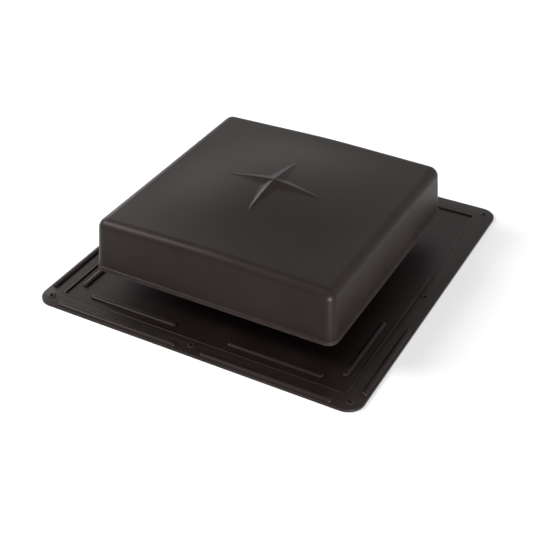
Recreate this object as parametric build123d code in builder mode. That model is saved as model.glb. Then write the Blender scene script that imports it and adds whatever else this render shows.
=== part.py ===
from build123d import *
import os

# Square-top plastic roof vent: a nailing flange with a round throat, a louvre ring on the throat
# and a rain hood over both. Millimetres; +X along the front edge, +Y up the roof slope, +Z up.
# The origin is the centre of the flange's flat underside.

os.makedirs("parts", exist_ok=True)

# Flange
flange_width = 437.0
flange_depth = 460.0
flange_corner = 24.0
field_thick = 2.5
border_width = 26.7
border_step = 1.0
flange_edge_chamfer = 1.0

# Water beads on the lower half of the flange
bead_width = 5.5
bead_height = 2.4
bead_slope = 35.0
outer_bead_inset = 6.3
inner_bead_inset = 38.3
front_outer_bead_start = 16.5
front_outer_bead_inset = 32.5
front_inner_bead_start = 35.0
front_inner_bead_inset = 58.5
side_outer_bead_inset = 31.0
side_inner_bead_inset = 50.0
side_bead_back = 161.0

# Nail marks
nail_inset = 15.0
nail_hole_radius = 1.8

# Throat
throat_radius = 101.6
collar_wall = 2.5
collar_rise = 23.0
gusset_count = 8
gusset_thick = 2.2
gusset_reach = 11.0
gusset_top = 2.0

# Hood
hood_offset = -12.9
hood_width = 326.0
hood_depth = 326.0
hood_wall = 2.5
hood_corner = 20.0
hood_side_height = 68.7
hood_draft = 3.9
hood_edge_round = 13.0
ridge_height = 3.5
dome_height = 7.8
dome_reach = 144.0
dome_sink = 0.15
dome_root = 1.0
inner_cut = 0.75
rim_gap = 32.5
rim_band_height = 5.0
rim_band_step = 1.0

# Star on the crown
star_front = 66.0
star_side = 68.0
star_waist = 15.0
star_height = 10.0
star_sink = 2.5

# Louvre ring
ring_wall = 2.6
ring_clearance = 0.3
ring_skirt = 6.0
ring_hoop = 3.0
bar_count = 48
bar_width = 3.0
bar_depth = 2.2

# Snap legs of the hood and the catches on the flange that take them
catch_count = 4
catch_width = 22.0
catch_thick = 2.5
catch_rise = 9.0
catch_bar = 6.0
window_height = 9.0
window_side_gap = 0.5
catch_gusset_reach = 9.0
leg_width = 14.0
leg_thick = 2.5
leg_gap = 5.5
leg_clearance = 0.3
barb_reach = 2.2
barb_height = 3.0

# Ribs under the hood
hood_rib_count = 8
hood_rib_thick = 2.0
hood_rib_drop = 6.0
seat_drop = 0.5

# Levels and places worked out from the sizes above
border_level = field_thick + border_step
rim_level = field_thick + rim_gap
edge_level = rim_level + hood_side_height
crown_level = edge_level + ridge_height + dome_height
collar_radius = throat_radius + collar_wall
collar_top = rim_level + collar_rise
skirt_level = collar_top - ring_skirt
skirt_radius = collar_radius + ring_clearance
ring_radius = skirt_radius + ring_wall
seat_level = edge_level - seat_drop
seat_radius = ring_radius + ring_clearance
leg_inside = seat_radius + leg_gap
leg_outside = leg_inside + leg_thick
catch_inside = leg_outside + leg_clearance
catch_outside = catch_inside + catch_thick
catch_top = rim_level + catch_rise
window_top = catch_top - catch_bar
window_sill = window_top - window_height
form_height = hood_side_height + ridge_height + dome_height + hood_edge_round
nail_x = flange_width / 2 - nail_inset
nail_y = flange_depth / 2 - nail_inset
nail_spots = [(x, y) for x in (-nail_x, 0, nail_x) for y in (-nail_y, 0, nail_y) if x or y]


def hood_plane(height):
    """A level plane centred on the throat and the hood."""
    return Plane(origin=(0, hood_offset, height))


def radial_planes(count, start):
    """Upright planes through the throat's axis, evenly turned, with x outward and y up."""
    planes = []
    for i in range(count):
        angle = start + 360 * i / count
        outward = Vector(1, 0, 0).rotate(Axis.Z, angle)
        normal = Vector(0, -1, 0).rotate(Axis.Z, angle)
        planes.append(Plane(origin=(0, hood_offset, 0), x_dir=outward, z_dir=normal))
    return planes


def dome_surface(level):
    """The right half of the dome as one patch over the roof's flat slopes.

    It dips just under the slopes along its borders, leaves them softly and peaks at the middle.
    """
    across = (1, 1, 2 / 3, 0, 0)
    along = (0, 0, 8 / 3, 0, 0)
    rows = []
    for i in range(5):
        row = []
        for j in range(5):
            x = dome_reach * i / 4
            y = dome_reach * (j / 2 - 1)
            slope = ridge_height * (1 - 2 * x / hood_width)
            swell = (dome_height + dome_sink) * across[i] * along[j]
            row.append(Vector(x, y + hood_offset, level + slope + swell - dome_sink))
        rows.append(row)
    return Face.make_bezier_surface(rows)


def hood_form(inset):
    """Drafted block under a low ridged roof with a soft dome, taken in on every side by the inset.

    The outside has round corners and edges; the forms within it have flat-cut ones.
    """
    level = edge_level - inset
    roof_slope = (2 * ridge_height, 0, hood_width)
    roof = Plane(origin=(0, hood_offset, level + ridge_height), x_dir=(0, 1, 0), z_dir=roof_slope)
    with BuildPart() as dome:
        with BuildSketch(hood_plane(level - dome_root)):
            with Locations((dome_reach / 2, 0)):
                Rectangle(dome_reach, 2 * dome_reach)
        extrude(amount=form_height)
        split(bisect_by=dome_surface(level), keep=Keep.BOTTOM)
    with BuildPart() as form:
        with BuildSketch(hood_plane(rim_level)) as plan:
            Rectangle(hood_width - 2 * inset, hood_depth - 2 * inset)
            if inset:
                chamfer(plan.vertices(), length=inner_cut * (hood_corner - inset))
            else:
                fillet(plan.vertices(), radius=hood_corner)
        extrude(amount=form_height, taper=hood_draft)
        split(bisect_by=Plane.YZ, keep=Keep.TOP)
        split(bisect_by=roof, keep=Keep.BOTTOM)
        crown = form.faces().sort_by(Axis.Z)[-1]
        ridge = crown.edges().sort_by(Axis.X)[0]
        rim = [edge for edge in crown.edges() if edge != ridge]
        if inset:
            chamfer(rim, length=inner_cut * (hood_edge_round - inset))
        else:
            fillet(rim, radius=hood_edge_round)
        add(dome.part)
        mirror(about=Plane.YZ)
    return form.part


def star_form(level):
    """Four-armed star: flat facets that rise from the tips and the waists to one point."""
    waist = star_waist
    with BuildPart() as form:
        with BuildSketch(hood_plane(level - star_sink)) as plan:
            with BuildLine():
                Polyline(
                    (star_side, 0),
                    (waist, waist),
                    (0, star_front),
                    (-waist, waist),
                    (-star_side, 0),
                    (-waist, -waist),
                    (0, -star_front),
                    (waist, -waist),
                    close=True,
                )
            make_face()
        loft([plan.sketch.face(), Vertex(0, hood_offset, level + star_height)])
    return form.part


def front_beads(inset, start, end_inset):
    """A pair of beads along the front edge, one each side of the middle."""
    end = flange_width / 2 - end_inset
    x = (start + end) / 2
    y = inset - flange_depth / 2
    with Locations((x, y), (-x, y)):
        Rectangle(end - start, bead_width)


def side_beads(inset, start_inset):
    """A bead along the lower half of each side edge."""
    x = flange_width / 2 - inset
    y = (start_inset + side_bead_back) / 2 - flange_depth / 2
    with Locations((x, y), (-x, y)):
        Rectangle(bead_width, side_bead_back - start_inset)


# Flange: a flat plate with a raised border, beads, nail marks, the throat collar and the catches
with BuildPart() as flange:
    with BuildSketch():
        RectangleRounded(flange_width, flange_depth, flange_corner)
    extrude(amount=border_level)
    chamfer(flange.faces().sort_by(Axis.Z)[-1].edges(), length=flange_edge_chamfer)
    with BuildSketch(Plane.XY.offset(field_thick)):
        Rectangle(flange_width - 2 * border_width, flange_depth - 2 * border_width)
    extrude(amount=border_step, mode=Mode.SUBTRACT)

    with BuildSketch(Plane.XY.offset(field_thick)):
        front_beads(inner_bead_inset, front_inner_bead_start, front_inner_bead_inset)
        side_beads(inner_bead_inset, side_inner_bead_inset)
    extrude(amount=bead_height, taper=bead_slope)
    with BuildSketch(Plane.XY.offset(border_level)):
        front_beads(outer_bead_inset, front_outer_bead_start, front_outer_bead_inset)
        side_beads(outer_bead_inset, side_outer_bead_inset)
    extrude(amount=bead_height, taper=bead_slope)

    with BuildSketch():
        with Locations(*nail_spots):
            Circle(nail_hole_radius)
    extrude(amount=border_level, mode=Mode.SUBTRACT)

    with BuildSketch(hood_plane(field_thick)):
        Circle(collar_radius)
    extrude(amount=collar_top - field_thick)
    with BuildSketch(*radial_planes(gusset_count, 180 / gusset_count)):
        with BuildLine():
            Polyline(
                (throat_radius, field_thick),
                (collar_radius + gusset_reach, field_thick),
                (collar_radius + gusset_top, skirt_level),
                (throat_radius, skirt_level),
                close=True,
            )
        make_face()
    extrude(amount=gusset_thick / 2, both=True)
    with BuildSketch(hood_plane(0)):
        Circle(throat_radius)
    extrude(amount=collar_top, mode=Mode.SUBTRACT)

    catch_planes = radial_planes(catch_count, 180 / catch_count)
    with BuildSketch(*catch_planes):
        with BuildLine():
            Polyline(
                (catch_outside, field_thick),
                (catch_outside + catch_gusset_reach, field_thick),
                (catch_outside, window_sill),
                close=True,
            )
        make_face()
    extrude(amount=gusset_thick / 2, both=True)
    with BuildSketch(*catch_planes):
        with BuildLine():
            Polyline(
                (catch_inside, field_thick),
                (catch_outside, field_thick),
                (catch_outside, catch_top),
                (catch_inside, catch_top),
                close=True,
            )
        make_face()
    extrude(amount=catch_width / 2, both=True)
    with BuildSketch(*catch_planes):
        with BuildLine():
            Polyline(
                (catch_inside, window_sill),
                (catch_outside, window_sill),
                (catch_outside, window_top),
                (catch_inside, window_top),
                close=True,
            )
        make_face()
    extrude(amount=leg_width / 2 + window_side_gap, both=True, mode=Mode.SUBTRACT)

# Stays under the hood: ribs that press on the louvre ring and hold it central, and the snap legs
wall_middle = hood_form(hood_wall / 2)
with BuildPart() as stays:
    with BuildSketch(*radial_planes(hood_rib_count, 0)):
        with BuildLine():
            Polyline(
                (throat_radius, seat_level),
                (seat_radius, seat_level),
                (seat_radius, edge_level - hood_rib_drop),
                (hood_width, edge_level - hood_rib_drop),
                (hood_width, edge_level + form_height),
                (throat_radius, edge_level + form_height),
                close=True,
            )
        make_face()
    extrude(amount=hood_rib_thick / 2, both=True)
    with BuildSketch(*catch_planes):
        with BuildLine():
            Polyline(
                (leg_inside, window_sill),
                (leg_outside, window_sill),
                (leg_outside + barb_reach, window_top - barb_height),
                (leg_outside + barb_reach, window_top),
                (leg_outside, window_top),
                (leg_outside, catch_top),
                (catch_outside, catch_top),
                (catch_outside, edge_level + form_height),
                (leg_inside, edge_level + form_height),
                close=True,
            )
        make_face()
    extrude(amount=leg_width / 2, both=True)
    add(wall_middle, mode=Mode.INTERSECT)

# Hood: a drafted shell with a crowned top, a star on the crown and a thicker band at the rim
outer_form = hood_form(0)
hollow = hood_form(hood_wall)
star = star_form(crown_level)
star_hollow = star_form(crown_level - hood_wall)
with BuildPart() as rim_band:
    with BuildSketch(hood_plane(rim_level)):
        RectangleRounded(
            hood_width + 2 * rim_band_step,
            hood_depth + 2 * rim_band_step,
            hood_corner + rim_band_step,
        )
    extrude(amount=rim_band_height, taper=hood_draft)
with BuildPart() as hood:
    add(outer_form)
    add(star)
    add(rim_band.part)
    add(hollow, mode=Mode.SUBTRACT)
    add(star_hollow, mode=Mode.SUBTRACT)
    add(stays.part)

# Louvre ring: upright bars between two hoops; the deep lower hoop slips over the collar
with BuildPart() as louvre_ring:
    with BuildSketch(hood_plane(skirt_level)):
        Circle(ring_radius)
        Circle(skirt_radius, mode=Mode.SUBTRACT)
    extrude(amount=ring_skirt + ring_hoop)
    with BuildSketch(hood_plane(collar_top + ring_hoop)):
        with PolarLocations((skirt_radius + ring_radius) / 2, bar_count):
            Rectangle(bar_depth, bar_width)
    extrude(amount=seat_level - collar_top - 2 * ring_hoop)
    with BuildSketch(hood_plane(seat_level - ring_hoop)):
        Circle(ring_radius)
        Circle(skirt_radius, mode=Mode.SUBTRACT)
    extrude(amount=ring_hoop)

flange.part.label = "base_flange"
hood.part.label = "hood"
louvre_ring.part.label = "louvre_ring"
export_step(flange.part, "parts/base_flange.step")
export_step(hood.part, "parts/hood.step")
export_step(louvre_ring.part, "parts/louvre_ring.step")
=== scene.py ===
from math import asin, cos, pi, radians, sin, sqrt, tan

import bmesh
import bpy
from bpy.props import FloatProperty, FloatVectorProperty, IntProperty, PointerProperty
from bpy.types import Operator, Panel, PropertyGroup
from mathutils import Matrix, Vector


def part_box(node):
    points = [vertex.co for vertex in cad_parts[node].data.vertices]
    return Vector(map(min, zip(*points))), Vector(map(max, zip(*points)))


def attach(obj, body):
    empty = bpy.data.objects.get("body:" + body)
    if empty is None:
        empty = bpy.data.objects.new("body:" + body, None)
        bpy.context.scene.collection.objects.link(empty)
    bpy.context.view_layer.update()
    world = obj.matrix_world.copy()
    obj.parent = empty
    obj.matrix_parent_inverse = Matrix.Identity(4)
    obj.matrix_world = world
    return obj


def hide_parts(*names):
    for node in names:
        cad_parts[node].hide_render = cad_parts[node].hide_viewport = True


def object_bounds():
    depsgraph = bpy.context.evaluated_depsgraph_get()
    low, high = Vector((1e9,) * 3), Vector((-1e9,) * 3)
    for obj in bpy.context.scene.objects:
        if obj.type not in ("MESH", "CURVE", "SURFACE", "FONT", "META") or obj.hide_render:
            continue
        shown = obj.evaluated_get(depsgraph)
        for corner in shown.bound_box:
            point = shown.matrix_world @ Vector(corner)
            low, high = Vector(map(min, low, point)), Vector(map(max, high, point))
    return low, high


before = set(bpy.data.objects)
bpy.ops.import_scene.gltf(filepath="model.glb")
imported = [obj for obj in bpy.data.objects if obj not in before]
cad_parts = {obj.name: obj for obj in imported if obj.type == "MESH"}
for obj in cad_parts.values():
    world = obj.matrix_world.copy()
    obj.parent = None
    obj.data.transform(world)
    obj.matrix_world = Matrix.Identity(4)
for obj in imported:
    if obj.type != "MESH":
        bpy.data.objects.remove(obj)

bl_info = {
    "name": "Roof vent",
    "version": (1, 0, 0),
    "blender": (4, 5, 0),
    "location": "3D View > Sidebar > Roof vent",
    "description": "Builds a square-top plastic roof vent over its packed model, and a plain stage for it",
    "category": "Object",
}

MM = 0.001
PLASTIC_NAME = "moulded_dark_plastic"

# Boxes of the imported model, which set where every piece goes
CAD_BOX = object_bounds()
FLANGE_LOW, FLANGE_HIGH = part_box("base_flange")
HOOD_LOW, HOOD_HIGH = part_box("hood")
RING_LOW, RING_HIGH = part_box("louvre_ring")
HOOD_MIDDLE = Vector(((HOOD_LOW.x + HOOD_HIGH.x) / 2, (HOOD_LOW.y + HOOD_HIGH.y) / 2, 0))
RING_RADIUS = RING_HIGH.x - HOOD_MIDDLE.x

# What the hood and the flange fit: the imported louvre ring's own sizes, and the pairs of legs and catches
RING_WALL = 2.6 * MM
RING_SKIRT = 6 * MM
CATCHES = 4

# How finely round forms are cut
ARCH_CUTS = 12
BEAD_END_CUTS = 15
LIP_CORNER_CUTS = 8
CORNER_CUTS = 14
HOOD_EDGE_CUTS = 12
FLANGE_EDGE_CUTS = 4
FIELD_CORNER_CUTS = 6
STEP_CUTS = 3
COLLAR_CUTS = 120
COLLAR_FOOT_CUTS = 5
NAIL_CUTS = 24
PAD_CUTS = 8
RIB_ROUND_CUTS = 4
RIB_CUTS = 6
STAR_CUTS_ALONG = 18
STAR_CUTS_ACROSS = 12
STAR_CROWDING = 1.4  # Over 1, the cuts crowd towards the ridge
STAR_TIP = 0.01  # Share of an arm at which its ridge is as soft as at the tip
STAR_SOFTEST = 3  # Most softness of a ridge, in widths of its flank

# How close two levels or places count as the same, and how flat or sharp a form counts
LEVEL_SLACK = 0.01 * MM
CLIMB_SLACK = 0.1 * MM
MERGE_SLACK = 1e-6
CUT_SLACK = 1e-7
SHARP_ANGLE = radians(32)  # Edges that turn more than this are shaded as sharp
UPRIGHT_SHARE = 0.2  # A face whose normal has less than this upwards counts as upright

# How deep added parts stand in what carries them, so that no seam shows
PLATE_ROOT = 0.2 * MM
COLLAR_ROOT = 0.5 * MM
CATCH_ROOT = 0.3 * MM
PAD_ROOT = 0.5 * MM
COLLAR_BURIED = 1 * MM
COLLAR_BASE = 0.02 * MM  # How far the collar's buried foot stays above the plate's underside
CUT_MARGIN = 0.3 * MM  # How much wider than the throat the plate is cut, to clear the collar's face
CUT_DEPTH = 6  # Length of the cutters, in thicknesses of the border

# Lamps: name, azimuth and elevation in degrees, then distance, width and height in metres
LAMPS = (
    ("key", 48, 0, 2.2, 0.7, 0.08),
    ("side", -62, 40, 2.2, 0.7, 0.7),
    ("soft", -120, 18, 2.5, 1, 1),
)
LAMP_TARGET = Vector((0, 0, 50 * MM))
FLOOR_REACH = 1.1
FLOOR_GAP = 0.2 * MM
SENSOR = 36  # Millimetres


class HoodSizes(PropertyGroup):
    """Sizes of the rain hood."""

    wall: FloatProperty(
        name="Wall", description="Thickness of the moulded wall", default=2.5 * MM, unit="LENGTH"
    )
    side_height: FloatProperty(
        name="Side height", description="From the rim to the straight top edges",
        default=68.7 * MM, unit="LENGTH",
    )
    draft: FloatProperty(
        name="Draft", description="Lean of the side walls", default=radians(3.9), subtype="ANGLE"
    )
    corner: FloatProperty(
        name="Corner radius", description="Radius of the upright corners", default=12.5 * MM, unit="LENGTH"
    )
    edge_round: FloatProperty(
        name="Edge round", description="Radius between the walls and the top",
        default=12 * MM, unit="LENGTH",
    )
    ridge: FloatProperty(
        name="Ridge rise", description="Rise of the ridge that runs from front to back",
        default=3.5 * MM, unit="LENGTH",
    )
    ridge_soft: FloatProperty(
        name="Ridge softness", description="Half width over which the ridge is rounded",
        default=25 * MM, unit="LENGTH",
    )
    dome: FloatProperty(
        name="Dome rise", description="Rise of the soft dome over the ridge", default=10 * MM, unit="LENGTH"
    )
    dome_reach: FloatProperty(
        name="Dome reach", description="Where the dome dies out, from the middle",
        default=144 * MM, unit="LENGTH",
    )
    star_across: FloatProperty(
        name="Star across", description="Length of each side arm of the star",
        default=68 * MM, unit="LENGTH",
    )
    star_along: FloatProperty(
        name="Star along", description="Length of the front and back arms", default=66 * MM, unit="LENGTH"
    )
    star_rise: FloatProperty(
        name="Star rise", description="Star's top above the crown", default=4.8 * MM, unit="LENGTH"
    )
    star_waist: FloatProperty(
        name="Star waist", description="How far out the star's inner corners lie",
        default=15 * MM, unit="LENGTH",
    )
    star_sink: FloatProperty(
        name="Star sink", description="How deep the star's outline lies under the crown",
        default=0.1 * MM, unit="LENGTH",
    )
    star_edge: FloatProperty(
        name="Star edge", description="Roundness of the star's ridges", default=1.2 * MM, unit="LENGTH"
    )
    star_hollow: FloatProperty(
        name="Star hollow", description="How hollow the star's flanks are, from 1 for flat ones",
        default=2, min=1,
    )
    band_height: FloatProperty(
        name="Band height", description="Height of the thicker band at the rim",
        default=5 * MM, unit="LENGTH",
    )
    band_step: FloatProperty(
        name="Band step", description="How far the band stands out", default=1 * MM, unit="LENGTH"
    )
    band_slope: FloatProperty(
        name="Band slope", description="Height over which the band runs out",
        default=0.6 * MM, unit="LENGTH",
    )
    cuts: IntProperty(
        name="Cuts", description="Cuts from the middle to each side of the top", default=20, min=4
    )
    ribs: IntProperty(name="Ribs", description="Ribs under the top", default=8, min=1)
    rib_drop: FloatProperty(
        name="Rib drop", description="Ribs below the side edges", default=6 * MM, unit="LENGTH"
    )
    rib_thick: FloatProperty(
        name="Rib thickness", description="Thickness of a rib", default=2 * MM, unit="LENGTH"
    )
    ring_play: FloatProperty(
        name="Ring play", description="Gap round the louvre ring", default=0.3 * MM, unit="LENGTH"
    )
    leg_inside: FloatProperty(
        name="Leg inside", description="Inner face of a snap leg, from the axis",
        default=112.8 * MM, unit="LENGTH",
    )
    leg_thick: FloatProperty(
        name="Leg thickness", description="Thickness of a snap leg", default=2.5 * MM, unit="LENGTH"
    )
    leg_width: FloatProperty(
        name="Leg width", description="Width of a snap leg", default=14 * MM, unit="LENGTH"
    )
    leg_low: FloatProperty(
        name="Leg tip", description="Height of the legs' tips", default=29 * MM, unit="LENGTH"
    )
    leg_grip: FloatProperty(
        name="Leg grip", description="From a leg's tip to its hook", default=9 * MM, unit="LENGTH"
    )
    barb_reach: FloatProperty(
        name="Barb", description="How far a leg's hook stands out", default=2.2 * MM, unit="LENGTH"
    )
    barb_height: FloatProperty(
        name="Barb height", description="Height of the hook's edge", default=3 * MM, unit="LENGTH"
    )


class FlangeSizes(PropertyGroup):
    """Sizes of the nailing flange and its throat."""

    corner: FloatProperty(
        name="Corner", description="Corner radius of the flange", default=21 * MM, unit="LENGTH"
    )
    thick: FloatProperty(
        name="Field thickness", description="Plate inside the border", default=2.4 * MM, unit="LENGTH"
    )
    border: FloatProperty(
        name="Border", description="Width of the raised border", default=26.7 * MM, unit="LENGTH"
    )
    step: FloatProperty(name="Border step", description="Rise of the border", default=1.2 * MM, unit="LENGTH")
    edge: FloatProperty(name="Edge round", description="Round on the outer edge", default=1 * MM, unit="LENGTH")
    bead_width: FloatProperty(
        name="Bead width", description="Width of a water bead", default=8.6 * MM, unit="LENGTH"
    )
    bead_height: FloatProperty(
        name="Bead height", description="Height of a bead", default=3.4 * MM, unit="LENGTH"
    )
    bead_sink: FloatProperty(
        name="Bead sink", description="How deep a bead's foot lies", default=0.1 * MM, unit="LENGTH"
    )
    lip_width: FloatProperty(
        name="Lip width", description="Width of the border's inner lip", default=3.4 * MM, unit="LENGTH"
    )
    lip_height: FloatProperty(
        name="Lip height", description="Rise of that lip", default=0.9 * MM, unit="LENGTH"
    )
    nail_inset: FloatProperty(
        name="Nail inset", description="Nail marks from the edges", default=15 * MM, unit="LENGTH"
    )
    nail_radius: FloatProperty(
        name="Nail hole", description="Radius of a nail hole", default=1.8 * MM, unit="LENGTH"
    )
    pad_radius: FloatProperty(
        name="Nail pad", description="Radius of the ring round it", default=4.8 * MM, unit="LENGTH"
    )
    pad_height: FloatProperty(
        name="Pad height", description="Rise of that ring", default=1.2 * MM, unit="LENGTH"
    )
    field_corner: FloatProperty(
        name="Field corner", description="Corner of the field", default=4 * MM, unit="LENGTH"
    )
    step_round: FloatProperty(
        name="Step round", description="Round over the step", default=0.8 * MM, unit="LENGTH"
    )
    outer_inset: FloatProperty(
        name="Outer inset", description="Outer beads from the edge", default=6.3 * MM, unit="LENGTH"
    )
    inner_inset: FloatProperty(
        name="Inner inset", description="Inner beads from the edge", default=38.3 * MM, unit="LENGTH"
    )
    outer_front_start: FloatProperty(
        name="Outer start", description="From the middle", default=16.5 * MM, unit="LENGTH"
    )
    outer_front_inset: FloatProperty(
        name="Outer end", description="From the side edge", default=32.5 * MM, unit="LENGTH"
    )
    inner_front_start: FloatProperty(
        name="Inner start", description="From the middle", default=35 * MM, unit="LENGTH"
    )
    inner_front_inset: FloatProperty(
        name="Inner end", description="From the side edge", default=58.5 * MM, unit="LENGTH"
    )
    outer_side_inset: FloatProperty(
        name="Outer side start", description="From the front", default=31 * MM, unit="LENGTH"
    )
    inner_side_inset: FloatProperty(
        name="Inner side start", description="From the front", default=50 * MM, unit="LENGTH"
    )
    side_back: FloatProperty(
        name="Side bead end", description="From the front edge", default=161 * MM, unit="LENGTH"
    )
    collar_wall: FloatProperty(
        name="Collar wall", description="Wall of the throat collar", default=2.5 * MM, unit="LENGTH"
    )
    collar_foot: FloatProperty(
        name="Collar foot", description="Fillet round the collar", default=3 * MM, unit="LENGTH"
    )
    throat_bevel: FloatProperty(
        name="Throat bevel", description="Under the throat", default=0.8 * MM, unit="LENGTH"
    )
    gussets: IntProperty(name="Gussets", description="Webs round the collar", default=8, min=1)
    web_thick: FloatProperty(
        name="Web thickness", description="Gussets and braces", default=2.2 * MM, unit="LENGTH"
    )
    gusset_reach: FloatProperty(
        name="Gusset reach", description="Outwards at its foot", default=11 * MM, unit="LENGTH"
    )
    gusset_top: FloatProperty(
        name="Gusset top", description="Outwards at its top", default=2 * MM, unit="LENGTH"
    )
    catch_thick: FloatProperty(
        name="Catch thickness", description="Wall of a catch", default=2.5 * MM, unit="LENGTH"
    )
    brace_reach: FloatProperty(
        name="Brace reach", description="Web behind a catch", default=9 * MM, unit="LENGTH"
    )
    catch_inside: FloatProperty(
        name="Catch inside", description="From the axis", default=115.6 * MM, unit="LENGTH"
    )
    catch_width: FloatProperty(
        name="Catch width", description="Width of a catch", default=22 * MM, unit="LENGTH"
    )
    catch_window: FloatProperty(
        name="Window width", description="Width of its window", default=15 * MM, unit="LENGTH"
    )
    sill: FloatProperty(name="Window sill", description="Height of the sill", default=29 * MM, unit="LENGTH")
    bar: FloatProperty(
        name="Window top", description="Height of the bar's underside", default=38 * MM, unit="LENGTH"
    )
    catch_top: FloatProperty(
        name="Catch top", description="Height of the catches", default=44 * MM, unit="LENGTH"
    )


class PlasticLook(PropertyGroup):
    """Colours and finish of the dark moulded plastic."""

    colour: FloatVectorProperty(
        name="Colour", description="Main colour",
        subtype="COLOR", size=3, default=(0.0090, 0.0056, 0.0054), min=0, max=1,
    )
    bloom: FloatVectorProperty(
        name="Bloom", description="Paler patches",
        subtype="COLOR", size=3, default=(0.0130, 0.0088, 0.0085), min=0, max=1,
    )
    # Lighter colour for sharp convex edges: partly rubbed wear, partly a painted highlight on ridges and
    # corners
    rub_and_highlight: FloatVectorProperty(
        name="Rub", description="Rubbed edges with painted highlight",
        subtype="COLOR", size=3, default=(0.055, 0.046, 0.044), min=0, max=1,
    )
    roughness: FloatProperty(
        name="Roughness", description="Roughness of the satin skin", default=0.38, min=0, max=1
    )
    specular: FloatProperty(name="Specular", description="Strength of its shine", default=0.15, min=0, max=1)
    sheen: FloatVectorProperty(
        name="Shine colour", description="Tint of its shine",
        subtype="COLOR", size=3, default=(1, 0.9, 0.88), min=0, max=1,
    )
    grain: FloatProperty(name="Grain", description="Strength of the moulded grain", default=0.25, min=0, max=1)


class StageSetup(PropertyGroup):
    """Camera and lamps."""

    azimuth: FloatProperty(
        name="Azimuth", description="Camera's turn round the vent", default=radians(28.94), subtype="ANGLE"
    )
    elevation: FloatProperty(
        name="Elevation", description="Camera's angle above the floor",
        default=radians(35.48), subtype="ANGLE",
    )
    roll: FloatProperty(name="Roll", description="Camera's roll", default=radians(0.384), subtype="ANGLE")
    distance: FloatProperty(
        name="Distance", description="Camera from its target", default=1382.9 * MM, unit="LENGTH"
    )
    lens: FloatProperty(
        name="Lens", description="Focal length on a 36 mm sensor, in millimetres", default=71.89
    )
    target: FloatVectorProperty(
        name="Target", description="What the camera looks at",
        default=(5.43 * MM, -34.97 * MM, 0), subtype="TRANSLATION",
    )
    sky: FloatProperty(name="Sky", description="Strength of the even light", default=0.5, min=0)
    key: FloatProperty(
        name="Key lamp", description="Power of the lamp at the right front", default=70, unit="POWER"
    )
    side: FloatProperty(name="Side lamp", description="Power of the lamp at the left", default=36, unit="POWER")
    soft: FloatProperty(
        name="Soft lamp", description="Power of the lamp behind the left", default=12, unit="POWER"
    )
    floor: FloatVectorProperty(
        name="Floor", description="Floor as the object sees it",
        subtype="COLOR", size=3, default=(0.30, 0.30, 0.30),
    )
    paper: FloatVectorProperty(
        name="Paper", description="Floor as the camera sees it",
        subtype="COLOR", size=3, default=(0.75, 0.75, 0.75),
    )
    paper_glow: FloatProperty(
        name="Paper white", description="White added to the paper where it is seen", default=0.42
    )


def settings():
    """The scene's settings for the vent."""
    return bpy.context.scene.roof_vent


def throat_radius():
    """Radius of the throat: inside the louvre ring by the ring's wall, its play and the collar's wall."""
    held = settings()
    return RING_RADIUS - RING_WALL - held.hood.ring_play - held.flange.collar_wall


# Shapes


def finish_piece(name, shape, material, node):
    """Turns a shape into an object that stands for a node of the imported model."""
    mesh = bpy.data.meshes.new(name)
    shape.to_mesh(mesh)
    shape.free()
    for face in mesh.polygons:
        face.use_smooth = True
    mesh.set_sharp_from_angle(angle=SHARP_ANGLE)
    mesh.materials.append(material)
    piece = bpy.data.objects.new(name, mesh)
    bpy.context.scene.collection.objects.link(piece)
    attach(piece, "root")
    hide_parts(node)
    return piece


def block(low, high):
    """A plain block between two corners."""
    shape = bmesh.new()
    size = Vector(high) - Vector(low)
    middle = (Vector(high) + Vector(low)) / 2
    bmesh.ops.create_cube(shape, size=1, matrix=Matrix.Translation(middle) @ Matrix.Diagonal((*size, 1)))
    return shape


def edges_where(shape, wanted):
    """The shape's edges that pass a test."""
    return [edge for edge in shape.edges if wanted(edge)]


def round_edges(shape, edges, radius, segments):
    """Rounds the given edges."""
    bmesh.ops.bevel(
        shape,
        geom=edges,
        offset=radius,
        offset_type="OFFSET",
        affect="EDGES",
        segments=segments,
        profile=0.5,
        clamp_overlap=False,
        material=-1,
    )


def is_upright(edge):
    """True for an edge that joins two levels."""
    return abs(edge.verts[0].co.z - edge.verts[1].co.z) > CLIMB_SLACK


def lies_at(level):
    """A test for edges that lie at one level."""
    return lambda edge: all(abs(vert.co.z - level) < LEVEL_SLACK for vert in edge.verts)


def cut_across(shape, places, axis):
    """Cuts the whole shape by planes across an axis, at the given places."""
    normal = Vector((0, 0, 0))
    normal[axis] = 1
    for place in places:
        everything = shape.verts[:] + shape.edges[:] + shape.faces[:]
        bmesh.ops.bisect_plane(shape, geom=everything, plane_co=normal * place, plane_no=normal, dist=CUT_SLACK)


def turned(outline, steps):
    """Spins a closed outline of (radius, height) points about the upright axis."""
    shape = bmesh.new()
    corners = [shape.verts.new((radius, 0, height)) for radius, height in outline]
    loop = [shape.edges.new((corners[i - 1], corners[i])) for i in range(len(corners))]
    bmesh.ops.spin(
        shape, geom=corners + loop, cent=(0, 0, 0), axis=(0, 0, 1), angle=2 * pi, steps=steps, use_merge=True
    )
    bmesh.ops.remove_doubles(shape, verts=shape.verts[:], dist=MERGE_SLACK)
    bmesh.ops.recalc_face_normals(shape, faces=shape.faces[:])
    return shape


def upright_web(outline, thickness):
    """An upright web in the XZ plane: a closed outline of (outward, height) points, thickened."""
    shape = bmesh.new()
    shape.faces.new([shape.verts.new((outward, -thickness / 2, height)) for outward, height in outline])
    bmesh.ops.solidify(shape, geom=shape.faces[:], thickness=thickness)
    bmesh.ops.recalc_face_normals(shape, faces=shape.faces[:])
    middle = sum(vert.co.y for vert in shape.verts) / len(shape.verts)
    bmesh.ops.translate(shape, vec=(0, -middle, 0), verts=shape.verts[:])
    return shape


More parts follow.
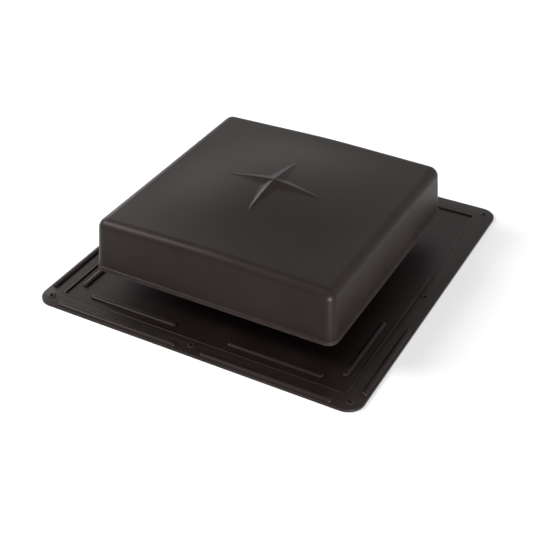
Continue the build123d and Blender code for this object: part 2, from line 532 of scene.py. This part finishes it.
def sheet(rows, around=False):
    """A skin over rows of points, with its normals upwards; around joins the last row to the first."""
    shape = bmesh.new()
    grid = [[shape.verts.new(point) for point in row] for row in rows]
    pairs = list(zip(grid, grid[1:])) + ([(grid[-1], grid[0])] if around else [])
    for first, second in pairs:
        for k in range(len(first) - 1):
            shape.faces.new((first[k], second[k], second[k + 1], first[k + 1]))
    bmesh.ops.remove_doubles(shape, verts=shape.verts[:], dist=MERGE_SLACK)
    shape.normal_update()
    if sum(face.normal.z * face.calc_area() for face in shape.faces) < 0:
        bmesh.ops.reverse_faces(shape, faces=shape.faces[:])
    return shape


def place(shape, middle=(0, 0, 0), angle=0):
    """Turns a shape about the upright axis, then moves it."""
    bmesh.ops.rotate(shape, cent=(0, 0, 0), matrix=Matrix.Rotation(angle, 3, "Z"), verts=shape.verts[:])
    bmesh.ops.translate(shape, vec=middle, verts=shape.verts[:])
    return shape


def take_in(whole, part):
    """Adds one shape to another."""
    mesh = bpy.data.meshes.new("part")
    part.to_mesh(mesh)
    part.free()
    whole.from_mesh(mesh)
    bpy.data.meshes.remove(mesh)


def cut_out(shape, cutter):
    """The shape with the cutter taken away."""
    held = []
    for name, source in (("whole", shape), ("cutter", cutter)):
        mesh = bpy.data.meshes.new(name)
        source.to_mesh(mesh)
        source.free()
        held.append(bpy.data.objects.new(name, mesh))
        bpy.context.scene.collection.objects.link(held[-1])
    whole, tool = held
    holes = whole.modifiers.new("holes", "BOOLEAN")
    holes.operation = "DIFFERENCE"
    holes.solver = "EXACT"
    holes.object = tool
    bpy.context.view_layer.update()
    result = bmesh.new()
    result.from_object(whole, bpy.context.evaluated_depsgraph_get())
    for item in held:
        mesh = item.data
        bpy.data.objects.remove(item)
        bpy.data.meshes.remove(mesh)
    return result


# Hood


def crown_rise(sizes, x, y, half):
    """Rise of the hood's top above its straight side edges, measured from the hood's middle."""
    across = min(abs(x) / sizes.dome_reach, 1)
    along = min(abs(y) / sizes.dome_reach, 1)
    soft = sizes.ridge_soft
    fall = (sqrt(x * x + soft * soft) - soft) / (sqrt(half.x**2 + soft * soft) - soft)
    return sizes.ridge * (1 - fall) + sizes.dome * (1 - across**2) ** 2 * (1 - along**2) ** 2


def hood_skin(sizes, half):
    """The hood's outer skin, centred on the origin, with its rim at height 0."""
    height = sizes.side_height
    shape = block((-half.x, -half.y, 0), (half.x, half.y, height))
    inward = height * tan(sizes.draft)
    top = [vert for vert in shape.verts if vert.co.z > height / 2]
    narrow = Vector(((half.x - inward) / half.x, (half.y - inward) / half.y, 1))
    bmesh.ops.scale(shape, vec=narrow, verts=top)
    round_edges(shape, edges_where(shape, is_upright), sizes.corner, CORNER_CUTS)
    round_edges(shape, edges_where(shape, lies_at(height)), sizes.edge_round, HOOD_EDGE_CUTS)
    base = min(shape.faces, key=lambda face: face.calc_center_median().z)
    bmesh.ops.delete(shape, geom=[base], context="FACES_ONLY")

    reach = half.x - inward - sizes.corner
    steps = [reach * i / sizes.cuts for i in range(1, sizes.cuts + 1)]
    for axis in (0, 1):
        cut_across(shape, [0] + steps + [-step for step in steps], axis)
    cut_across(shape, [sizes.band_height, sizes.band_height + sizes.band_slope], 2)

    shape.normal_update()
    for vert in shape.verts:
        if vert.co.z < sizes.band_height + LEVEL_SLACK:
            outward = Vector((vert.normal.x, vert.normal.y, 0)).normalized()
            vert.co += outward * sizes.band_step
        share = min(vert.co.z / (height - sizes.edge_round), 1)
        vert.co.z += share * crown_rise(sizes, vert.co.x, vert.co.y, half)
    return shape


def star_flank(sizes, half, quarter, side):
    """One flank of the star, from a ridge that falls to its tip out to the crown, which it meets softly."""
    arm = sizes.star_along if quarter % 2 else sizes.star_across
    turn = Matrix.Rotation(quarter * pi / 2, 2)
    rows = []
    for j in range(STAR_CUTS_ALONG + 1):
        left = 1 - j / STAR_CUTS_ALONG
        soft = min(sizes.star_edge / (sizes.star_waist * max(left, STAR_TIP)), STAR_SOFTEST)
        rows.append([])
        for k in range(STAR_CUTS_ACROSS + 1):
            out = (k / STAR_CUTS_ACROSS) ** STAR_CROWDING
            reach = sizes.star_waist * left * out
            spot = turn @ Vector((arm * (1 - left) + reach, side * reach))
            fall = (sqrt(out * out + soft * soft) - soft) / (sqrt(1 + soft * soft) - soft)
            level = sizes.side_height + crown_rise(sizes, spot.x, spot.y, half)
            lift = sizes.star_rise * left * (1 - fall) ** sizes.star_hollow - sizes.star_sink * out
            rows[-1].append((spot.x, spot.y, level + lift))
    return sheet(rows)


def star(sizes, half):
    """The star on the crown: four ridges with hollow flanks."""
    shape = bmesh.new()
    for quarter in range(4):
        for side in (-1, 1):
            take_in(shape, star_flank(sizes, half, quarter, side))
    bmesh.ops.remove_doubles(shape, verts=shape.verts[:], dist=MERGE_SLACK)
    return shape


def rib_outline(sizes, half, angle):
    """A rib's outline: it presses on the louvre ring, steps down outside it and runs to the hood's edge."""
    inward = sizes.side_height * tan(sizes.draft)
    middle = half.x - inward - sizes.edge_round
    is_diagonal = abs(sin(2 * angle)) > 0.5
    if is_diagonal:
        middle = (half.x - inward - sizes.corner) * sqrt(2) + sizes.corner - sizes.edge_round
    buried = sizes.wall / 2
    radius = sizes.edge_round - buried
    level = sizes.side_height
    seat = RING_HIGH.z - HOOD_LOW.z
    outside = RING_RADIUS + sizes.ring_play
    inner = throat_radius()
    outline = [(inner, seat), (outside, seat), (outside, level - sizes.rib_drop)]
    start = asin((sizes.edge_round - sizes.rib_drop) / radius)
    for i in range(RIB_ROUND_CUTS + 1):
        turn = start + (pi / 2 - start) * i / RIB_ROUND_CUTS
        outline.append((middle + radius * cos(turn), level - sizes.edge_round + radius * sin(turn)))
    for i in range(1, RIB_CUTS + 1):
        outward = middle + (inner - middle) * i / RIB_CUTS
        rise = crown_rise(sizes, outward * cos(angle), outward * sin(angle), half)
        outline.append((outward, level + rise - buried))
    return outline


def snap_leg(sizes, low, high):
    """A leg that hangs from the hood's top and hooks under the bar of a catch."""
    inside = sizes.leg_inside
    outside = inside + sizes.leg_thick
    hook = outside + sizes.barb_reach
    grip = low + sizes.leg_grip
    outline = [(inside, low), (outside, low), (hook, grip - sizes.barb_height), (hook, grip), (outside, grip)]
    return upright_web(outline + [(outside, high), (inside, high)], sizes.leg_width)


def build_hood(material):
    """The hood with its star, ribs and snap legs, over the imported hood."""
    sizes = settings().hood
    half = (HOOD_HIGH - HOOD_LOW) / 2 - Vector((sizes.band_step, sizes.band_step, 0))
    shape = hood_skin(sizes, half)
    bmesh.ops.solidify(shape, geom=shape.faces[:], thickness=sizes.wall)
    take_in(shape, star(sizes, half))
    for i in range(sizes.ribs):
        angle = 2 * pi * i / sizes.ribs
        web = upright_web(rib_outline(sizes, half, angle), sizes.rib_thick)
        take_in(shape, place(web, angle=angle))
    spot = sizes.leg_inside * sqrt(0.5)
    high = sizes.side_height + crown_rise(sizes, spot, spot, half) - sizes.wall / 2
    for i in range(CATCHES):
        leg = snap_leg(sizes, sizes.leg_low - HOOD_LOW.z, high)
        take_in(shape, place(leg, angle=2 * pi * (i + 0.5) / CATCHES))
    place(shape, middle=HOOD_MIDDLE + Vector((0, 0, HOOD_LOW.z)))
    return finish_piece("hood_shell", shape, material, "hood")


# Flange


def arch(half_width, height):
    """Points over a half ellipse, as (across, rise)."""
    turns = [pi * i / ARCH_CUTS for i in range(ARCH_CUTS + 1)]
    return [(-half_width * cos(turn), height * sin(turn)) for turn in turns]


def bead(sizes, length, middle, level, angle):
    """A water bead on the plate: a row of arches that shrink to a point over each round end."""
    half_width = sizes.bead_width / 2
    straight = length / 2 - half_width
    turns = [pi / 2 * i / BEAD_END_CUTS for i in range(BEAD_END_CUTS + 1)]
    end = [(straight + half_width * sin(turn), cos(turn)) for turn in turns]
    start = [(-along, size) for along, size in reversed(end)]
    curve = arch(half_width, sizes.bead_height)
    rows = []
    for along, size in start + [(0, 1)] + end:
        rows.append([(along, across * size, rise * size) for across, rise in curve])
    return place(sheet(rows), middle=(*middle, level - sizes.bead_sink), angle=angle)


def lip(sizes, half, level):
    """A small round-topped lip along the border's inner edge."""
    half_width = sizes.lip_width / 2
    rows = []
    for quarter in range(4):
        for i in range(LIP_CORNER_CUTS + 1):
            turn = pi / 2 * (quarter + i / LIP_CORNER_CUTS)
            away = sizes.border - half_width + sizes.field_corner
            corner_x = (half.x - away) * (1 if quarter in (0, 3) else -1)
            corner_y = (half.y - away) * (1 if quarter in (0, 1) else -1)
            rows.append([])
            for across, rise in arch(half_width, sizes.lip_height):
                radius = sizes.field_corner + across
                rows[-1].append((corner_x + radius * cos(turn), corner_y + radius * sin(turn), level + rise))
    return sheet(rows, around=True)


def touches_wall(edge):
    """True for an edge with an upright face beside it."""
    return any(abs(face.normal.z) < UPRIGHT_SHARE for face in edge.link_faces)


def is_inside(edge, half, margin):
    """True for an edge that lies inside the plate's outline by more than the margin."""
    return all(half.x - abs(vert.co.x) > margin and half.y - abs(vert.co.y) > margin for vert in edge.verts)


def plate(sizes):
    """The flange's plate: a raised border round a thinner field."""
    top = sizes.thick + sizes.step
    half = FLANGE_HIGH.xy
    shape = block((*FLANGE_LOW.xy, 0), (*half, top))
    round_edges(shape, edges_where(shape, is_upright), sizes.corner, CORNER_CUTS)
    round_edges(shape, edges_where(shape, lies_at(top)), sizes.edge, FLANGE_EDGE_CUTS)
    for axis in (0, 1):
        line = half[axis] - sizes.border
        cut_across(shape, [line, -line], axis)
    field = max(shape.faces, key=lambda face: face.calc_center_median().z - face.calc_center_median().xy.length)
    made = bmesh.ops.extrude_face_region(shape, geom=[field])
    bmesh.ops.delete(shape, geom=[field], context="FACES_ONLY")
    sunk = [item for item in made["geom"] if isinstance(item, bmesh.types.BMVert)]
    bmesh.ops.translate(shape, vec=(0, 0, -sizes.step), verts=sunk)
    shoulder = [edge for vert in sunk for edge in vert.link_edges if is_upright(edge)]
    round_edges(shape, shoulder, sizes.field_corner, FIELD_CORNER_CUTS)
    level_edges = edges_where(shape, lies_at(top))
    inner = [edge for edge in level_edges if touches_wall(edge) and is_inside(edge, half, sizes.border / 2)]
    round_edges(shape, inner, sizes.step_round, STEP_CUTS)
    return shape


def punched(sizes, spots):
    """The plate with its throat and its nail holes cut out."""
    through = CUT_DEPTH * (sizes.thick + sizes.step)
    throat = throat_radius() + CUT_MARGIN
    cutter = bmesh.new()
    holes = [(HOOD_MIDDLE, throat, COLLAR_CUTS)] + [(spot, sizes.nail_radius, NAIL_CUTS) for spot in spots]
    for centre, radius, segments in holes:
        bmesh.ops.create_cone(
            cutter,
            cap_ends=True,
            segments=segments,
            radius1=radius,
            radius2=radius,
            depth=through,
            matrix=Matrix.Translation((centre.x, centre.y, 0)),
        )
    return cut_out(plate(sizes), cutter)


def nail_pad(sizes):
    """The rounded ring round a nail hole."""
    swell = (sizes.pad_radius - sizes.nail_radius) / 2
    outline = [(sizes.nail_radius, -PAD_ROOT), (sizes.pad_radius, -PAD_ROOT)]
    for i in range(1, PAD_CUTS):
        turn = pi * i / PAD_CUTS
        outline.append((sizes.pad_radius - swell * (1 - cos(turn)), sizes.pad_height * sin(turn)))
    return turned(outline, NAIL_CUTS)


def collar(sizes):
    """The upright collar round the throat, with a fillet at its foot."""
    throat = throat_radius()
    wall = throat + sizes.collar_wall
    top = RING_LOW.z + RING_SKIRT
    foot = sizes.collar_foot
    bevel = sizes.throat_bevel
    profile = [(throat, bevel), (throat + bevel, COLLAR_BASE), (wall + COLLAR_BURIED, COLLAR_BASE)]
    for i in range(COLLAR_FOOT_CUTS + 1):
        turn = pi / 2 * i / COLLAR_FOOT_CUTS
        profile.append((wall + foot * (1 - sin(turn)), sizes.thick + foot * (1 - cos(turn))))
    return turned(profile + [(wall, top), (throat, top)], COLLAR_CUTS)


def gusset(sizes):
    """A web between the collar and the plate, whose top carries the louvre ring."""
    wall = throat_radius() + sizes.collar_wall
    inner = wall - COLLAR_ROOT
    low = sizes.thick - PLATE_ROOT
    high = RING_LOW.z
    outline = [(inner, low), (wall + sizes.gusset_reach, low), (wall + sizes.gusset_top, high), (inner, high)]
    return upright_web(outline, sizes.web_thick)


def catch(sizes):
    """A windowed upright on the flange, whose bar holds a snap leg."""
    inside = sizes.catch_inside
    outside = inside + sizes.catch_thick
    low = sizes.thick - PLATE_ROOT
    half = sizes.catch_width / 2
    gap = sizes.catch_window / 2
    shape = block((inside, -half, low), (outside, half, sizes.sill))
    take_in(shape, block((inside, -half, sizes.sill), (outside, -gap, sizes.bar)))
    take_in(shape, block((inside, gap, sizes.sill), (outside, half, sizes.bar)))
    take_in(shape, block((inside, -half, sizes.bar), (outside, half, sizes.catch_top)))
    inner = outside - CATCH_ROOT
    brace = [(inner, low), (outside + sizes.brace_reach, low), (inner, sizes.sill)]
    take_in(shape, upright_web(brace, sizes.web_thick))
    return shape


def build_flange(material):
    """The nailing flange with its beads, nail marks, throat collar and catches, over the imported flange."""
    sizes = settings().flange
    half = FLANGE_HIGH.xy
    top = sizes.thick + sizes.step
    nail = half - Vector((1, 1)) * sizes.nail_inset
    spots = [Vector((x * nail.x, y * nail.y)) for x in (-1, 0, 1) for y in (-1, 0, 1) if x or y]
    shape = punched(sizes, spots)
    take_in(shape, lip(sizes, half, top - sizes.bead_sink))
    for spot in spots:
        take_in(shape, place(nail_pad(sizes), middle=(spot.x, spot.y, top)))

    outer = (sizes.outer_front_start, sizes.outer_front_inset, sizes.outer_side_inset)
    inner = (sizes.inner_front_start, sizes.inner_front_inset, sizes.inner_side_inset)
    for inset, level, ends in ((sizes.outer_inset, top, outer), (sizes.inner_inset, sizes.thick, inner)):
        start, end_inset, side_inset = ends
        end = half.x - end_inset
        side_middle = (side_inset + sizes.side_back) / 2 - half.y
        for side in (-1, 1):
            front = (side * (start + end) / 2, inset - half.y)
            take_in(shape, bead(sizes, end - start, front, level, 0))
            beside = (side * (half.x - inset), side_middle)
            take_in(shape, bead(sizes, sizes.side_back - side_inset, beside, level, pi / 2))

    take_in(shape, place(collar(sizes), middle=HOOD_MIDDLE))
    for i in range(sizes.gussets):
        take_in(shape, place(gusset(sizes), middle=HOOD_MIDDLE, angle=2 * pi * (i + 0.5) / sizes.gussets))
    for i in range(CATCHES):
        take_in(shape, place(catch(sizes), middle=HOOD_MIDDLE, angle=2 * pi * (i + 0.5) / CATCHES))
    return finish_piece("flange_plate", shape, material, "base_flange")


# Materials


def node_at(tree, kind, x, y, **values):
    """A shader node at a place in its tree, with its properties set."""
    node = tree.nodes.new(kind)
    node.location = (x, y)
    for name, value in values.items():
        setattr(node, name, value)
    return node


def colour_mix(tree, x, y, factor, first, second):
    """Mixes two colours, each of them a socket or a value, by a factor's socket."""
    node = node_at(tree, "ShaderNodeMix", x, y, data_type="RGBA")
    inputs = {socket.identifier: socket for socket in node.inputs}
    outputs = {socket.identifier: socket for socket in node.outputs}
    tree.links.new(factor, inputs["Factor_Float"])
    for name, source in (("A_Color", first), ("B_Color", second)):
        if isinstance(source, bpy.types.NodeSocket):
            tree.links.new(source, inputs[name])
        else:
            inputs[name].default_value = (*source, 1)
    return outputs["Result_Color"]


def noise(tree, x, y, where, scale, detail, roughness=0.5):
    """A noise texture over the object's own coordinates."""
    node = node_at(tree, "ShaderNodeTexNoise", x, y)
    node.inputs["Scale"].default_value = scale
    node.inputs["Detail"].default_value = detail
    node.inputs["Roughness"].default_value = roughness
    tree.links.new(where, node.inputs["Vector"])
    return node.outputs["Fac"]


def remap(tree, x, y, value, **limits):
    """A value moved from one range to another; limits are the node's sockets with _ for spaces."""
    node = node_at(tree, "ShaderNodeMapRange", x, y)
    for name, limit in limits.items():
        node.inputs[name.replace("_", " ")].default_value = limit
    tree.links.new(value, node.inputs["Value"])
    return node.outputs["Result"]


def calculate(tree, x, y, operation, first, second):
    """A sum, product or the like of two sockets, or of a socket and a number."""
    node = node_at(tree, "ShaderNodeMath", x, y, operation=operation)
    for socket, source in zip(node.inputs, (first, second)):
        if isinstance(source, bpy.types.NodeSocket):
            tree.links.new(source, socket)
        else:
            socket.default_value = source
    return node.outputs["Value"]


def moulded_group():
    """Shared effects of moulded plastic: fine grain, faint bloom in patches, and a lighter colour on sharp
    convex edges that is partly rubbed wear and partly a painted highlight.
    """
    group = bpy.data.node_groups.new("moulded_plastic", "ShaderNodeTree")
    face = group.interface
    for name in ("Colour", "Bloom", "Rub"):
        face.new_socket(name=name, in_out="INPUT", socket_type="NodeSocketColor")
    for name in ("Roughness", "Grain"):
        face.new_socket(name=name, in_out="INPUT", socket_type="NodeSocketFloat")
    face.new_socket(name="Base Color", in_out="OUTPUT", socket_type="NodeSocketColor")
    face.new_socket(name="Roughness", in_out="OUTPUT", socket_type="NodeSocketFloat")
    face.new_socket(name="Normal", in_out="OUTPUT", socket_type="NodeSocketVector")
    link = group.links.new
    inside = node_at(group, "NodeGroupInput", -1200, 0)
    outside = node_at(group, "NodeGroupOutput", 700, 0)
    where = node_at(group, "ShaderNodeTexCoord", -1200, -300).outputs["Object"]

    patches = noise(group, -950, 300, where, scale=11, detail=5, roughness=0.6)
    share = remap(group, -750, 300, patches, From_Min=0.38, From_Max=0.68)
    bloomed = colour_mix(group, -500, 250, share, inside.outputs["Colour"], inside.outputs["Bloom"])

    shape = node_at(group, "ShaderNodeNewGeometry", -950, 600)
    # Painted highlight and rub: sharp convex edges, found by pointiness and broken up by noise, turn lighter
    sharp_edge_share = remap(group, -750, 600, shape.outputs["Pointiness"], From_Min=0.52, From_Max=0.66)
    breaks = noise(group, -950, 50, where, scale=120, detail=3)
    rub_and_highlight_share = calculate(group, -500, 550, "MULTIPLY", sharp_edge_share, breaks)
    rubbed_and_highlighted = colour_mix(group, -200, 300, rub_and_highlight_share, bloomed, inside.outputs["Rub"])
    link(rubbed_and_highlighted, outside.inputs["Base Color"])

    shift = remap(group, -500, -50, patches, To_Min=-0.05, To_Max=0.05)
    rough = calculate(group, -200, -50, "ADD", inside.outputs["Roughness"], shift)
    link(rough, outside.inputs["Roughness"])

    grain = noise(group, -500, -350, where, scale=1400, detail=2)
    skin = node_at(group, "ShaderNodeBump", 300, -350)
    skin.inputs["Distance"].default_value = 0.05 * MM
    link(inside.outputs["Grain"], skin.inputs["Strength"])
    link(grain, skin.inputs["Height"])
    link(skin.outputs["Normal"], outside.inputs["Normal"])
    return group


def dark_plastic():
    """The vent's dark brown-black plastic, made once."""
    if PLASTIC_NAME in bpy.data.materials:
        return bpy.data.materials[PLASTIC_NAME]
    look = settings().plastic
    material = bpy.data.materials.new(PLASTIC_NAME)
    material.use_nodes = True
    tree = material.node_tree
    shader = tree.nodes["Principled BSDF"]
    skin = node_at(tree, "ShaderNodeGroup", -350, 200, node_tree=moulded_group())
    for name, colour in (("Colour", look.colour), ("Bloom", look.bloom), ("Rub", look.rub_and_highlight)):
        skin.inputs[name].default_value = (*colour, 1)
    skin.inputs["Roughness"].default_value = look.roughness
    skin.inputs["Grain"].default_value = look.grain
    for name in ("Base Color", "Roughness", "Normal"):
        tree.links.new(skin.outputs[name], shader.inputs[name])
    shader.inputs["Specular IOR Level"].default_value = look.specular
    shader.inputs["Specular Tint"].default_value = (*look.sheen, 1)
    return material


# Stage


def seen_share(tree, x, y):
    """1 for the rays that show the background itself: camera, glossy and transmission rays."""
    rays = node_at(tree, "ShaderNodeLightPath", x - 400, y).outputs
    either = calculate(tree, x - 200, y, "MAXIMUM", rays["Is Camera Ray"], rays["Is Glossy Ray"])
    return calculate(tree, x, y, "MAXIMUM", either, rays["Is Transmission Ray"])


def build_sky(stage):
    """An even sky for the light, white where it is seen."""
    world = bpy.data.worlds.new("even_sky")
    world.use_nodes = True
    tree = world.node_tree
    light = tree.nodes["Background"]
    light.inputs["Color"].default_value = (1, 1, 1, 1)
    light.inputs["Strength"].default_value = stage.sky
    seen = node_at(tree, "ShaderNodeBackground", 0, -200)
    seen.inputs["Color"].default_value = (1, 1, 1, 1)
    both = node_at(tree, "ShaderNodeMixShader", 300, 100)
    tree.links.new(seen_share(tree, -200, 300), both.inputs["Fac"])
    tree.links.new(light.outputs["Background"], both.inputs[1])
    tree.links.new(seen.outputs["Background"], both.inputs[2])
    tree.links.new(both.outputs["Shader"], tree.nodes["World Output"].inputs["Surface"])
    bpy.context.scene.world = world


def build_floor(stage):
    """A wide pale floor just under the flange."""
    material = bpy.data.materials.new("floor_paper")
    material.use_nodes = True
    tree = material.node_tree
    shader = tree.nodes["Principled BSDF"]
    shader.inputs["Roughness"].default_value = 1
    shader.inputs["Specular IOR Level"].default_value = 0
    shader.inputs["Emission Color"].default_value = (1, 1, 1, 1)
    share = seen_share(tree, -500, 200)
    colour = colour_mix(tree, -250, 200, share, stage.floor, stage.paper)
    tree.links.new(colour, shader.inputs["Base Color"])
    glow = calculate(tree, -250, -100, "MULTIPLY", share, stage.paper_glow)
    tree.links.new(glow, shader.inputs["Emission Strength"])
    shape = bmesh.new()
    bmesh.ops.create_grid(shape, x_segments=1, y_segments=1, size=FLOOR_REACH)
    bmesh.ops.translate(shape, vec=(0, 0, CAD_BOX[0][2] - FLOOR_GAP), verts=shape.verts[:])
    mesh = bpy.data.meshes.new("floor")
    shape.to_mesh(mesh)
    shape.free()
    mesh.materials.append(material)
    floor = bpy.data.objects.new("floor", mesh)
    bpy.context.scene.collection.objects.link(floor)


def direction(azimuth, elevation):
    """Unit vector from the vent: azimuth 0 is the front, turning to the right."""
    return Vector((sin(azimuth) * cos(elevation), -cos(azimuth) * cos(elevation), sin(elevation)))


def build_lamp(name, towards, distance, width, height, power):
    """A white soft box in a direction from the vent, which it faces."""
    lamp = bpy.data.lights.new(name, "AREA")
    lamp.shape = "RECTANGLE"
    lamp.size = width
    lamp.size_y = height
    lamp.energy = power
    holder = bpy.data.objects.new(name, lamp)
    holder.rotation_euler = towards.to_track_quat("Z", "Y").to_euler()
    holder.location = towards * distance + LAMP_TARGET
    bpy.context.scene.collection.objects.link(holder)


def build_camera(stage):
    """The camera that the photograph was taken with, as far as it can be worked out."""
    roll = stage.roll
    back = direction(stage.azimuth, stage.elevation)
    right = (-back).cross(Vector((0, 0, 1))).normalized()
    down = (-back).cross(right)
    across = right * cos(roll) + down * sin(roll)
    below = down * cos(roll) - right * sin(roll)
    lens = bpy.data.cameras.new("photo_camera")
    lens.sensor_width = SENSOR
    lens.lens = stage.lens
    lens.clip_start = 0.05
    lens.clip_end = 50
    camera = bpy.data.objects.new("photo_camera", lens)
    spot = Vector(stage.target) + back * stage.distance
    camera.matrix_world = Matrix.Translation(spot) @ Matrix((across, -below, back)).transposed().to_4x4()
    bpy.context.scene.collection.objects.link(camera)
    bpy.context.scene.camera = camera


# Operators and panel


class ROOFVENT_OT_hood(Operator):
    """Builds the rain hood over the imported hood"""

    bl_idname = "roofvent.hood"
    bl_label = "Hood"

    def execute(self, context):
        build_hood(dark_plastic())
        return {"FINISHED"}


class ROOFVENT_OT_flange(Operator):
    """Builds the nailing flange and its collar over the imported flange"""

    bl_idname = "roofvent.flange"
    bl_label = "Flange"

    def execute(self, context):
        build_flange(dark_plastic())
        return {"FINISHED"}


class ROOFVENT_OT_louvres(Operator):
    """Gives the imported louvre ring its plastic"""

    bl_idname = "roofvent.louvres"
    bl_label = "Louvres"

    def execute(self, context):
        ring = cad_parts["louvre_ring"]
        for held in ring.material_slots:
            held.material = dark_plastic()
        return {"FINISHED"}


class ROOFVENT_OT_stage(Operator):
    """Sets up the floor, the sky, the lamps and the camera"""

    bl_idname = "roofvent.stage"
    bl_label = "Stage"

    def execute(self, context):
        stage = settings().stage
        context.scene.view_settings.view_transform = "Standard"
        build_sky(stage)
        build_floor(stage)
        for name, azimuth, elevation, distance, width, height in LAMPS:
            towards = direction(radians(azimuth), radians(elevation))
            build_lamp(name, towards, distance, width, height, getattr(stage, name))
        build_camera(stage)
        return {"FINISHED"}


class ROOFVENT_PT_tools(Panel):
    """Buttons and settings of the roof vent"""

    bl_idname = "ROOFVENT_PT_tools"
    bl_label = "Roof vent"
    bl_space_type = "VIEW_3D"
    bl_region_type = "UI"
    bl_category = "Roof vent"

    def draw(self, context):
        held = context.scene.roof_vent
        for operator, group in (
            ("roofvent.hood", held.hood),
            ("roofvent.flange", held.flange),
            ("roofvent.louvres", held.plastic),
            ("roofvent.stage", held.stage),
        ):
            box = self.layout.box()
            box.operator(operator)
            for name in group.bl_rna.properties.keys():
                if name not in ("rna_type", "name"):
                    box.prop(group, name)


class RoofVent(PropertyGroup):
    """Every setting of the roof vent."""

    hood: PointerProperty(type=HoodSizes)
    flange: PointerProperty(type=FlangeSizes)
    plastic: PointerProperty(type=PlasticLook)
    stage: PointerProperty(type=StageSetup)


CLASSES = (
    HoodSizes,
    FlangeSizes,
    PlasticLook,
    StageSetup,
    RoofVent,
    ROOFVENT_OT_hood,
    ROOFVENT_OT_flange,
    ROOFVENT_OT_louvres,
    ROOFVENT_OT_stage,
    ROOFVENT_PT_tools,
)


def register():
    """Adds the classes and the scene's settings."""
    for item in CLASSES:
        bpy.utils.register_class(item)
    bpy.types.Scene.roof_vent = PointerProperty(type=RoofVent)


def unregister():
    """Takes the settings and the classes away again."""
    del bpy.types.Scene.roof_vent
    for item in reversed(CLASSES):
        bpy.utils.unregister_class(item)


def main():
    """Builds the whole vent and its stage."""
    register()
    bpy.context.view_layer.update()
    bpy.ops.roofvent.hood()
    bpy.ops.roofvent.flange()
    bpy.ops.roofvent.louvres()
    bpy.ops.roofvent.stage()


if __name__ == "__main__":
    main()
